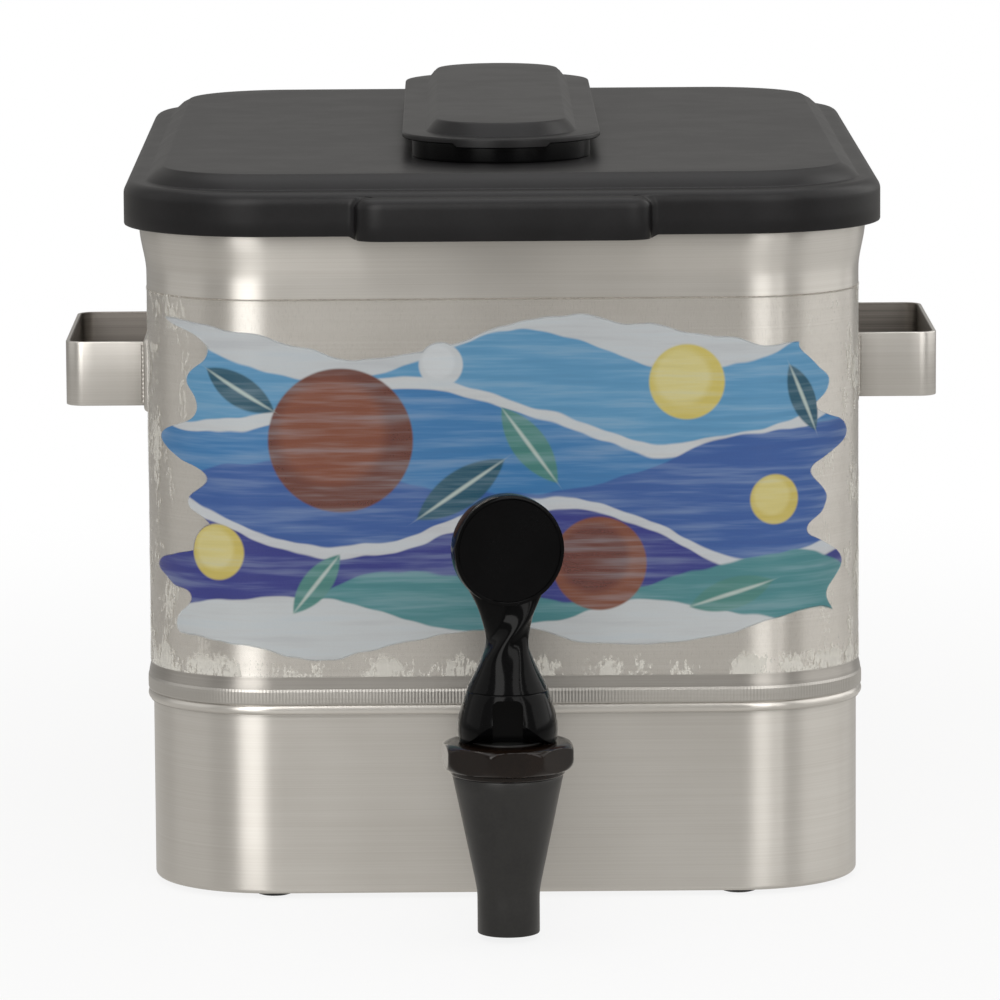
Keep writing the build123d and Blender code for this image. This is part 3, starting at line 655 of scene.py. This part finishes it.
def tab_front(out, inset, on=True):
    """The front edge of a lid ring as (along, outward) points: round the thumb tab, or straight past it."""
    half = tab_w / 2 - inset * 1.5
    foot = tab_foot + inset
    nose_x, nose_y = tab_nose_x - inset, max(tab_nose_y - inset, 1.0)
    reach = tab_out + lid_over - inset
    steps = 9
    if on:
        right = []
        for k in range(steps + 1):
            angle = radians(90 * k / steps)
            right.append((half + foot * (1 - sin(angle)), out + tab_foot * (1 - cos(angle))))
        for k in range(steps + 1):
            angle = radians(90 * k / steps)
            right.append((half - nose_x * (1 - cos(angle)), reach - nose_y * (1 - sin(angle))))
    else:
        start, end, count = tab_w / 2 + tab_foot, tab_w / 2 - tab_nose_x, 2 * steps + 2
        right = [(start + (end - start) * k / (count - 1), out) for k in range(count)]
    lead = [(corner_x + (right[0][0] - corner_x) * k / 6, out) for k in range(6)]
    face = [(right[-1][0] * (1 - k / 6), right[-1][1]) for k in range(1, 7)]
    half_edge = lead + right + face
    return [(-x, o) for x, o in half_edge] + half_edge[::-1][1:]


front_count = len(tab_front(0, 0)) - 1


def lid_marks():
    return stations(front_count, 26, 26)


def lid_ring(out, z, inset=None, tab_z=None):
    """A ring of the lid; where inset is given, its front goes round the thumb tab at another height."""
    marks = lid_marks()
    ring = tank_ring(out, z, marks)
    edge = tab_front(out, inset or 0.0, inset is not None)
    for k, (x, o) in enumerate(edge[:-1]):
        share = 0.0
        if tab_z is not None:
            share = min(1.0, max(0.0, (tab_w / 2 + tab_foot - abs(x)) / tab_foot))
        height = z + ((tab_z or z) - z) * ease(share)
        ring[k] = Vector((x, tank_y - corner_y - tank_r - o, height))
    return ring


def lid(material):
    """The moulded lid: skirt, eased edges, raised panel, thumb tab, and its ribs and collar underneath."""
    marks = lid_marks()
    low, tab_low = lid_low_z, lid_low_z - tab_drop
    tab_top = shelf_z - tab_below
    side_z = shelf_z - lid_edge
    meet = asin((tab_top - side_z) / lid_edge)
    edge = lid_ease
    rings = [
        lid_ring(lid_over - edge, low, edge, tab_low),
        lid_ring(lid_over - edge * 0.3, low + edge * 0.3, edge * 0.3, tab_low + edge * 0.3),
        lid_ring(lid_over, low + edge, 0.0, tab_low + edge),
        lid_ring(lid_over, low + 5.0, 0.0, tab_low + 5.5),
        lid_ring(lid_over, side_z - 0.6, 0.0, tab_top - tab_edge),
    ]
    steps = 7
    for k in range(1, steps + 1):
        swing = pi / 2 * k / steps
        rise = meet * k / (steps + 1)
        rings.append(lid_ring(
            lid_over - lid_edge * (1 - cos(rise)), side_z + lid_edge * sin(rise),
            tab_edge * (1 - cos(swing)), tab_top - tab_edge * (1 - sin(swing)),
        ))
    for k in range(7):
        rise = meet + (pi / 2 - meet) * k / 6
        rings.append(lid_ring(lid_over - lid_edge * (1 - cos(rise)), side_z + lid_edge * sin(rise)))
    foot_out = lid_over - panel_inset
    top_out = foot_out - panel_slope
    rings.append(lid_ring(foot_out + 1.0, shelf_z))
    for share, up in ((0.5, 0.12), (0.2, 0.36), (0.0, 0.7)):
        rings.append(lid_ring(foot_out + share, shelf_z + up))
    slope = panel_slope / panel_h
    rings.append(lid_ring(foot_out - (panel_h - panel_r) * slope, shelf_z + panel_h - 1.4))
    for out, z in arc(top_out + 0.15 - panel_r, panel_z - panel_r, panel_r, 44, 90, 5):
        rings.append(lid_ring(out, z))
    panel_edge, ceiling_z = rings[-1], panel_z - lid_wall
    collar_z = ceiling_z - collar_h

    def mouth(grow, z):
        """A ring of the opening for the plug, grown all round."""
        length, width = plug_len - 2 * plug_inset, plug_w - 2 * plug_inset
        return slot_ring(length + 2 * grow, width + 2 * grow, z, marks)

    for k in range(1, 6):
        rings.append([a.lerp(b, k / 5) for a, b in zip(panel_edge, mouth(0.4, panel_z))])
    collar_top = mouth(collar_t, ceiling_z)
    rings += [mouth(0.0, panel_z - 0.4), mouth(0.0, collar_z), mouth(collar_t, collar_z), collar_top]
    hollow = top_out - lid_wall
    under = lid_ring(hollow, ceiling_z)
    for t in (0.5, 1.0):
        rings.append([a.lerp(b, t) for a, b in zip(collar_top, under)])
    roof = shelf_z - lid_wall
    for out, z in (
        (hollow, roof), (rib_out - rib_t, roof), (rib_out - rib_t, roof - rib_h), (rib_out, roof - rib_h),
        (rib_out, roof), (lid_over - lid_wall, roof),
    ):
        rings.append(lid_ring(out, z))
    rings.append(lid_ring(lid_over - lid_wall, low, None, tab_low))
    bm = bmesh.new()
    skin(bm, rings)
    return piece("lid", bm, "lid", "lid_plastic", material, "lid_shell", sharp=32.0)


# Plug

def plug(neck_paint, cap_paint):
    """The gloss neck with its stopper, and the matt cap with its raised middle and its finger lip."""
    marks = stations(40, 20, 20)
    neck_len, neck_w = plug_len - 2 * neck_inset, plug_w - 2 * neck_inset
    stop_len, stop_w = plug_len - 2 * (plug_inset + plug_fit), plug_w - 2 * (plug_inset + plug_fit)

    def ring(inset, z, length=plug_len, width=plug_w):
        return slot_ring(length - 2 * inset, width - 2 * inset, z, marks)

    bm = bmesh.new()
    neck_rows = ((0.8, panel_z), (0.25, panel_z + 0.2), (0.0, panel_z + neck_foot), (0.0, cap_z))
    foot_z = panel_z - plug_drop
    stop_rows = ((plug_wall, cap_z), (plug_wall, foot_z), (0.5, foot_z), (0.0, foot_z + 0.5), (0.0, panel_z))
    rings = [ring(inset, z, neck_len, neck_w) for inset, z in neck_rows]
    skin(bm, rings + [ring(inset, z, stop_len, stop_w) for inset, z in stop_rows])
    neck = piece("plug_neck", bm, "plug", "plug_plastic", neck_paint, "plug_body")

    def with_lip(points):
        """Draws a ring down at the front, where a finger lifts the plug."""
        for p in points:
            if p.y < tank_y and abs(p.x) < lip_w / 2 + lip_run:
                p.z -= lip_drop * ease(min(1.0, (lip_w / 2 + lip_run - abs(p.x)) / lip_run))
        return points

    bm = bmesh.new()
    cap_top = cap_z + cap_t
    rings = [ring(neck_inset - 0.05, cap_z), with_lip(ring(0.5, cap_z)), with_lip(ring(0.0, cap_z + 0.4))]
    for k in range(6):
        swing = pi / 2 * k / 5
        rings.append(ring(cap_ease * (1 - cos(swing)), cap_top - cap_ease * (1 - sin(swing))))
    for inset, up in ((dome_inset - 0.9, 0.0), (dome_inset - 0.35, 0.1), (dome_inset, 0.45)):
        rings.append(ring(inset, cap_top + up))
    slope = dome_slope / dome_h
    rings.append(ring(dome_inset + (dome_h - 1.4) * slope, cap_top + dome_h - 1.2))
    for k in range(6):
        swing = radians(36 + 54 * k / 5)
        inset = dome_inset + dome_slope + 0.9 - dome_r * cos(swing)
        rings.append(ring(inset, cap_top + dome_h - dome_r * (1 - sin(swing))))
    solid(bm, rings)
    bmesh.ops.triangulate(bm, faces=[f for f in bm.faces if len(f.verts) > 4])
    top = piece("plug_top", bm, "plug", "cap_plastic", cap_paint, "plug_cap", sharp=32.0)
    return neck, top


# Tap

def spun(profile, sides):
    """Rings of points round the tap's upright axis, one for each (radius, height)."""
    return [[Vector((r * cos(a), tap_y + r * sin(a), z)) for a in turns(sides)] for r, z in profile]


def tap_body(material):
    """Spout, cone and chamber in one moulding, with the shank behind."""
    mid, spout_r = cone_low_z, spout_d / 2
    slope = (cone_top_d - spout_d) / 2 / (cone_top_z - cone_low_z)
    outer = [(spout_r - 0.5, spout_z), (spout_r - 0.15, spout_z + 0.15), (spout_r, spout_z + 0.5)]
    outer += [(spout_r, mid - 3.2), (spout_r + 0.02, mid - 1.6), (spout_r + 0.14, mid),
              (spout_r + 0.42, mid + 1.8), (spout_r + slope * 3.6, mid + 3.6)]
    outer += [(spout_r + slope * (z - mid), z) for z in (24, 30, 36, 42, 48)]
    outer += [(cone_top_d / 2 - 0.08, cone_top_z - 0.5), (cone_top_d / 2 - 0.3, cone_top_z)]
    outer += [(tap_neck_d / 2, cone_top_z), (tap_neck_d / 2, tap_neck_z), (chamber_d / 2, tap_neck_z)]
    inner = [(chamber_d / 2, chamber_z), (chamber_low_d / 2, seat_z), (outlet_d / 2, seat_z),
             (outlet_d / 2, spout_z + 0.4), (outlet_d / 2 + 0.4, spout_z)]
    bm = bmesh.new()
    skin(bm, spun(outer + inner, 96))
    bore_r, shank_r, flange_r = shank_bore / 2, shank_d / 2, flange_d / 2
    wall_y, start_y = front_y + skirt_in, tap_y + shank_start
    shank = (
        (bore_r, start_y), (shank_r, start_y), (shank_r, tap_y + 15.0), (shank_r, wall_y - flange_far),
        (flange_r - 0.4, wall_y - flange_far + 0.2), (flange_r, wall_y - flange_far + 0.6),
        (flange_r, wall_y - flange_near), (shank_r, wall_y - flange_near), (shank_r, shank_end_y - 0.6),
        (shank_r - 0.6, shank_end_y), (bore_r, shank_end_y),
    )
    skin(bm, [[Vector((r * cos(a), y, shank_z + r * sin(a))) for a in turns(64)] for r, y in shank])
    return piece("tap_body", bm, "tank", "tap_plastic", material, "faucet_body")


def soft_min(a, b, blend):
    """The smaller of two, eased where they meet."""
    h = max(blend - abs(a - b), 0.0) / blend
    return min(a, b) - h * h * blend / 4


def bonnet(material):
    """The octagonal nut: flats with eased corners, turned away above and below, and a round lip."""
    sides = 256
    low, top = bonnet_low_z, bonnet_top_z
    lip_r, wide_r, top_r = bonnet_lip_d / 2, bonnet_d / 2, bonnet_top_d / 2

    def reach(angle, limit):
        """How far out the nut is at an angle, where the turning allows it."""
        share = (angle - radians(bonnet_turn - 90)) % (2 * pi / bonnet_sides)
        away = min(share, 2 * pi / bonnet_sides - share)
        return soft_min(bonnet_af / 2 / cos(away), limit, 0.25)

    rows = [(lip_r - 0.3, low), (lip_r, low + 0.3), (lip_r, low + bonnet_lip_h - 0.15)]
    for k in range(1, 13):
        swing = pi / 2 * k / 12
        rows.append((lip_r + (wide_r - lip_r) * sin(swing) ** 0.9,
                     low + bonnet_lip_h + bonnet_foot * (1 - cos(swing))))
    rows.append((wide_r, top - bonnet_shoulder - 0.6))
    for k in range(13):
        swing = pi / 2 * k / 12
        rows.append((wide_r - (wide_r - top_r) * (1 - cos(swing)), top - bonnet_shoulder * (1 - sin(swing))))
    rings = []
    for limit, z in rows:
        reaches = [(a, reach(a, limit)) for a in turns(sides)]
        rings.append([Vector((r * cos(a), tap_y + r * sin(a), z)) for a, r in reaches])
    seat_r, bore_r, roof_z = washer_d / 2, tap_neck_d / 2 + 0.1, top - bonnet_wall
    inside = [(seat_r + 0.3, top), (seat_r, top - 0.3), (seat_r, washer_z), (stem_hole_r, washer_z),
              (stem_hole_r, roof_z), (bore_r, roof_z), (bore_r, low)]
    bm = bmesh.new()
    skin(bm, rings + spun(inside, sides))
    return piece("bonnet", bm, "tank", "bonnet_plastic", material, "bonnet_nut", sharp=28.0)


# Lever

# Sections of the neck: height, width, depth, turn in degrees and squareness
rungs = [
    (ring_z, ring_d, ring_d, -90.0, 2.0), (17.6, 24.1, 23.9, -90.0, 2.0), (20.0, 22.0, 21.4, -90.0, 2.1),
    (23.0, 19.2, 18.4, -88.0, 2.3), (26.0, 16.8, 15.6, -84.0, 2.6), (29.0, 15.0, 12.6, -74.0, 3.0),
    (32.2, 13.9, 10.4, -56.0, 3.4), (35.0, 14.2, 9.4, -36.0, 3.6), (38.0, 15.6, 9.0, -16.0, 3.6),
    (41.5, 18.2, 8.6, 2.0, 3.4), (45.0, 21.6, 8.4, 11.0, 3.2), (49.0, 26.0, 8.2, head_turn, 3.0),
    (neck_top_z, 28.4, 8.0, head_turn, 3.0),
]


def between(table, height):
    """A row of a table at any height, along a smooth curve through its rows."""
    for k in range(len(table) - 1):
        if height <= table[k + 1][0]:
            break
    p1, p2 = table[k], table[k + 1]
    p0, p3 = table[max(k - 1, 0)], table[min(k + 2, len(table) - 1)]
    t = (height - p1[0]) / (p2[0] - p1[0])
    row = []
    for a, b, c, d in zip(p0[1:], p1[1:], p2[1:], p3[1:]):
        m1, m2 = (c - a) / 2, (d - b) / 2
        row.append((2 * t**3 - 3 * t**2 + 1) * b + (t**3 - 2 * t**2 + t) * m1
                   + (-2 * t**3 + 3 * t**2) * c + (t**3 - t**2) * m2)
    return row


def neck_ring(height, width, depth, turn, power, sides):
    """A section of the lever's neck: a squared oval, turned."""
    ring = []
    c, s = cos(radians(turn)), sin(radians(turn))
    for k in range(sides):
        angle = 2 * pi * k / sides - radians(turn)
        ca, sa = cos(angle), sin(angle)
        r = (abs(ca / (width / 2)) ** power + abs(sa / (depth / 2)) ** power) ** (-1 / power)
        x, y = r * ca, r * sa
        ring.append(Vector((x * c - y * s, tap_y + x * s + y * c, lever_z + height)))
    return ring


def head_point(r, angle, forward):
    """A point of the lever's head: radius and angle in its face, and how far forward of its middle."""
    c, s = cos(radians(head_turn)), sin(radians(head_turn))
    x, z = r * cos(angle), r * sin(angle)
    return Vector((x * c + forward * s, tap_y + x * s - forward * c, lever_z + head_z + z))


def head_disc(profile):
    """Rings of a disc turned in the lever's head, from (radius, forward) points."""
    return [[head_point(r, a, forward) for a in turns(128)] for r, forward in profile]


def foot_point(x, forward, up):
    """A point of the lever's foot, from the tap's axis at the lever's lowest height."""
    return Vector((x, tap_y - forward, lever_z + up))


def block(name, rings):
    """A closed mesh in millimetres to join or cut with."""
    bm = bmesh.new()
    solid(bm, rings)
    bmesh.ops.recalc_face_normals(bm, faces=bm.faces)
    mesh = bpy.data.meshes.new(name)
    bm.to_mesh(mesh)
    bm.free()
    return added(name, mesh)


def cut_and_join(base, tools):
    """Carries out solid joins and cuts, and gives the resulting mesh."""
    for tool, operation in tools:
        step = base.modifiers.new(tool.name, "BOOLEAN")
        step.object, step.operation, step.solver = tool, operation, "EXACT"
    bpy.context.view_layer.update()
    result = bpy.data.meshes.new_from_object(base.evaluated_get(bpy.context.evaluated_depsgraph_get()))
    for made in [base] + [tool for tool, _ in tools]:
        bpy.data.objects.remove(made)
    return result


def lever(material, badge_paint):
    """The lever in one moulding: bell foot with a toe and a slot, a twisted neck and a round head."""
    sides = 96
    bell = [(0.0, 15.15), (0.35, 15.3), (1.4, 15.52), (3.4, 15.7), (5.2, 15.55), (7.6, 15.15), (10.0, 14.55),
            (12.6, 13.72), (15.3, 12.86)]
    rings = []
    for height, r in bell + [(15.5, 12.66), (15.66, 12.5), (ring_z, 12.54), (15.95, 12.66)]:
        rings.append(neck_ring(height, 2 * r, 2 * r, 0.0, 2.0, sides))
    steps, neck_z = 64, 16.1
    for k in range(1, steps + 1):
        height = neck_z + (neck_top_z - neck_z) * k / steps
        width, depth, turn, power = between(rungs, height)
        rings.append(neck_ring(height, width, depth, turn, max(power, 2.0), sides))
    body = block("lever_body", rings)

    half, r = head_t / 2, head_d / 2
    profile = [(0.6, -half), (r - 6.0, -half)]
    profile += arc(r - head_round, head_round - half, head_round, -90, 0, 9)
    profile += [(r, half - 0.5), (r - 0.12, half - 0.16), (r - 0.45, half), (r - head_rim + 0.15, half),
                (r - head_rim, half - 0.15), (r - head_rim, half - badge_t), (0.6, half - badge_t)]
    head = block("lever_head", head_disc(profile))

    slot = arc(slot_w / 2 - slot_r, slot_h - slot_r, slot_r, 0, 90, 5)
    slot += arc(slot_r - slot_w / 2, slot_h - slot_r, slot_r, 90, 180, 5)
    slot += [(-slot_w / 2, -2.0), (slot_w / 2, -2.0)]
    slot_tool = block("slot_tool", [[foot_point(x, y, z) for x, z in slot] for y in (slot_back, cut_reach)])

    toe_r = pin_h + toe_rise
    swings = [radians(a) for a in range(2, 91, 4)]
    edge = [(toe_reach + toe_r * sin(a), toe_r * (1 - cos(a))) for a in swings]
    edge += [(toe_reach + 30.0, toe_r), (toe_reach + 30.0, -3.0), (toe_reach, -3.0), (toe_reach, 0.0)]
    toe_tool = block("toe_tool", [[foot_point(x, y, z) for y, z in edge] for x in (-cut_reach, cut_reach)])

    r = pin_d / 2 + 0.01
    pin_tool = block("pin_tool", [
        [foot_point(x, -r * cos(a), pin_h + r * sin(a)) for a in turns(32)] for x in (-cut_reach, cut_reach)
    ])

    mesh = cut_and_join(body, [
        (head, "UNION"), (slot_tool, "DIFFERENCE"), (toe_tool, "DIFFERENCE"), (pin_tool, "DIFFERENCE"),
    ])
    bm = bmesh.new()
    bm.from_mesh(mesh)
    bpy.data.meshes.remove(mesh)
    arm = piece("lever", bm, "lever", "lever_plastic", material, "tap_lever", sharp=30.0)

    bm = bmesh.new()
    r, face = head_d / 2 - head_rim - 0.05, half - badge_sunk
    solid(bm, head_disc([
        (0.6, half - badge_t), (r, half - badge_t), (r, face - 0.15), (r - 0.15, face), (0.6, face),
    ]))
    badge = piece("badge", bm, "lever", "badge_plastic", badge_paint, "lever_badge")
    return arm, badge


# Camera, light and floor

def studio():
    """An unmarked pale floor, a white surround and soft lights; the steel mirrors the tall boxes in front."""
    world = bpy.data.worlds.new("surround")
    bpy.context.scene.world = world
    world.use_nodes = True
    sky = Nodes(world.node_tree)
    light = sky.node("Background", {}, {"Color": (0.86, 0.845, 0.815, 1), "Strength": 0.5})
    white = sky.node("Background", {}, {"Color": (1, 1, 1, 1), "Strength": 1.0})
    to_camera = sky.node("LightPath", {}, {}, "Is Camera Ray")
    sky.end("World Output", sky.node("MixShader", {}, {0: to_camera, 1: light, 2: white}))

    def box_light(name, azimuth, width, tall, watts, distance=1.5, height=0.9, glossy=True, diffuse=False):
        data = bpy.data.lights.new(name, "AREA")
        data.shape, data.size, data.size_y = "RECTANGLE", width, tall
        data.energy, data.color = watts, (1, 0.99, 0.97)
        made = added(name, data)
        at = Vector((sin(radians(azimuth)) * distance, -cos(radians(azimuth)) * distance, height))
        made.location = at
        aim = Vector((0, 0, 0.13)) - at
        made.rotation_euler = aim.to_track_quat("-Z", "Y").to_euler()
        made.visible_glossy, made.visible_diffuse = glossy, diffuse

    box_light("left_box", -22.5, 0.7, 1.7, 14.5)
    box_light("right_box", 25, 0.5, 1.7, 7)
    box_light("right_strip", 41, 0.11, 1.7, 2.2)
    box_light("back_right", 126, 0.6, 1.7, 4, distance=1.6)
    box_light("right_wall", 88, 1.7, 1.7, 11)
    box_light("left_wall", -85, 1.5, 1.7, 4)
    box_light("front_fill", 0, 1.4, 1.0, 16, distance=2.2, height=1.5, glossy=False, diffuse=True)
    top = bpy.data.lights.new("top_box", "AREA")
    top.shape, top.size, top.size_y, top.energy = "RECTANGLE", 1.4, 1.4, 9
    added("top_box", top).location = (0, 0.1, 1.5)

    bm = bmesh.new()
    bmesh.ops.create_grid(bm, x_segments=1, y_segments=1, size=6.0)
    mesh = bpy.data.meshes.new("floor")
    bm.to_mesh(mesh)
    bm.free()
    floor = added("floor", mesh)
    p = Paint("floor_paint", Roughness=0.6)
    p.set("Base Color", (0.86, 0.86, 0.86, 1))
    far = p.node("VectorMath", {"operation": "LENGTH"}, {0: p.place()}, "Value")
    pale = p.node("LightPath", {}, {}, "Is Camera Ray") * p.ramp(far, 0.25, 0.8, 0.86, 1.0)
    glow = p.node("Emission", {}, {"Strength": 1.0})
    seen = p.node("MixShader", {}, {0: pale, 1: Wire(p, p.shader.outputs[0]), 2: glow})
    grey = {"Color": (0.66, 0.643, 0.612, 1), "Strength": p.ramp(far, 0.35, 1.4, 0.98, 0.52)}
    in_mirror = p.node("LightPath", {}, {}, "Is Glossy Ray")
    mirrored = p.node("MixShader", {}, {0: in_mirror, 1: seen, 2: p.node("Emission", {}, grey)})
    p.end("Material Output", mirrored)
    mesh.materials.append(p.material)


def camera():
    """The camera of the photograph, found from the object's outline in it."""
    data = bpy.data.cameras.new("camera")
    data.sensor_width, data.lens = 36.0, 264.2
    data.clip_end = 50.0
    made = added("camera", data)
    pitch, yaw, roll = radians(8.036), radians(0.357), radians(-0.356)
    ahead = Vector((sin(yaw) * cos(pitch), cos(yaw) * cos(pitch), -sin(pitch)))
    right = ahead.cross(Vector((0, 0, 1))).normalized()
    up = right.cross(ahead)
    right, up = cos(roll) * right + sin(roll) * up, cos(roll) * up - sin(roll) * right
    at = Vector((-15.88, front_y - 2308.0, 454.4)) * MM
    axes = (right, up, -ahead, at)
    made.matrix_world = Matrix([[axis[k] for axis in axes] for k in range(3)] + [[0, 0, 0, 1]])
    bpy.context.scene.camera = made


def dress_nodes(paints):
    """Gives each solid that stays its own procedural finish."""
    for node, paint in paints.items():
        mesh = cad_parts[node].data
        mesh.materials.clear()
        mesh.materials.append(paint)


wall_steel = brushed_steel("wall_steel", shade_and_mill="shade_and_mill_share")
skirt_steel = brushed_steel("skirt_steel", 0.985)
seam_steel = brushed_steel("seam_steel", 0.87, 1100.0, 30.0, 0.2)
handle_steel = brushed_steel("handle_steel", 0.95, 1100.0, 12.0, 0.4, shade_and_mill="shade_and_mill_share")
inner_steel = brushed_steel("inner_steel", 1.0, 500.0, 40.0)
lid_plastic = moulded("lid_plastic", (17, 16, 18), (23, 22, 24), 0.4, 0.02, 0.5, level=0.26)
cap_plastic = moulded("cap_plastic", (16, 15, 17), (22, 21, 23), 0.38, 0.02, 0.5, level=0.25)
gloss_black = moulded("gloss_black", (5, 5, 6), (9, 9, 10), 0.12, level=0.09)
neck_black = moulded("neck_black", (8, 8, 9), (13, 13, 14), 0.16, level=0.24)
bonnet_black = moulded("bonnet_black", (20, 13, 9), (28, 19, 14), 0.12, level=0.25)
tap_black = moulded("tap_black", (34, 33, 33), (42, 41, 40), 0.4, 0.012, 1.4, level=0.36)
badge_black = moulded("badge_black", (5, 5, 6), (9, 9, 10), 0.14, level=0.1)
silicone = moulded("silicone", (206, 203, 194), (220, 217, 209), 0.45, 0.02, 1.2)
rubber = moulded("rubber", (30, 30, 30), (42, 42, 42), 0.7, 0.06, 0.9)
nut_black = moulded("nut_black", (40, 40, 40), (50, 50, 50), 0.45, 0.03, 0.9)
stem_white = moulded("stem_white", (214, 214, 210), (228, 228, 224), 0.38, 0.02, 1.2)

tank_wall(wall_steel)
seam_band(seam_steel)
skirt(skirt_steel)
feet(rubber)
film(printed_film())
handle(-1, handle_steel)
handle(1, handle_steel)
lid(lid_plastic)
plug(neck_black, cap_plastic)
tap_body(tap_black)
bonnet(bonnet_black)
lever(gloss_black, badge_black)
dress_nodes({
    "bottom_pan": inner_steel, "outer_seal": silicone, "wall_spacer": nut_black, "inner_seal": silicone,
    "shank_nut": nut_black, "wear_washer": nut_black, "valve_stem": stem_white, "seat_cup": silicone,
    "return_spring": inner_steel, "lever_pin": inner_steel,
})
studio()
camera()
bpy.context.scene.view_settings.view_transform = "Standard"
